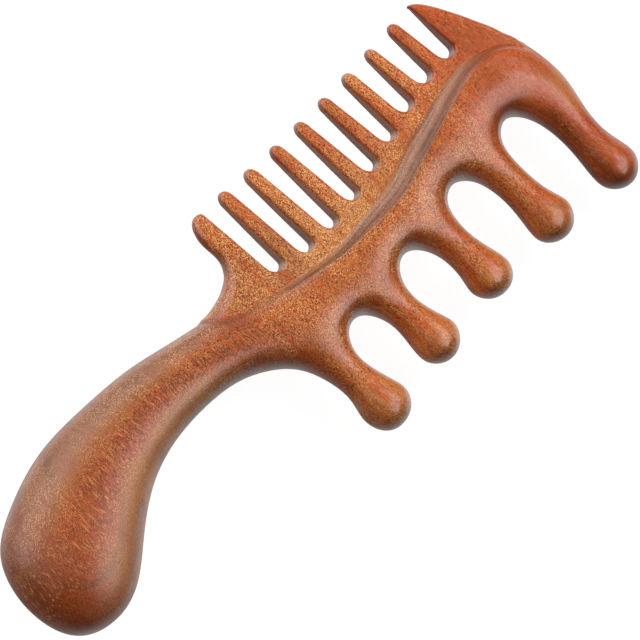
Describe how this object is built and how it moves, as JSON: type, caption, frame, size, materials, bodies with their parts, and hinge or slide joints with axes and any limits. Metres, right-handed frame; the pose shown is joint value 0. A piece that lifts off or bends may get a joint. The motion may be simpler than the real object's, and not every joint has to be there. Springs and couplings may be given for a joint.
{
  "type": "wide-tooth comb",
  "caption": "Polished wooden comb with a palm-shaped handle, a row of wide-set teeth on one edge and round-ended massage fingers on the other.",
  "frame": {"origin": "centre of the whole comb's bounding box, in its middle plane", "axes": "+X along the comb from the handle to the head, +Y towards the tooth tips, +Z out of the front face"},
  "size_m": [0.19, 0.072, 0.0256],
  "materials": {
    "body_wood": "polished, satin gloss",
    "plate_wood": "polished, satin gloss"
  },
  "bodies": {
    "root": {"body": "body_wood", "tooth_plate": "plate_wood"}
  },
  "joints": []
}
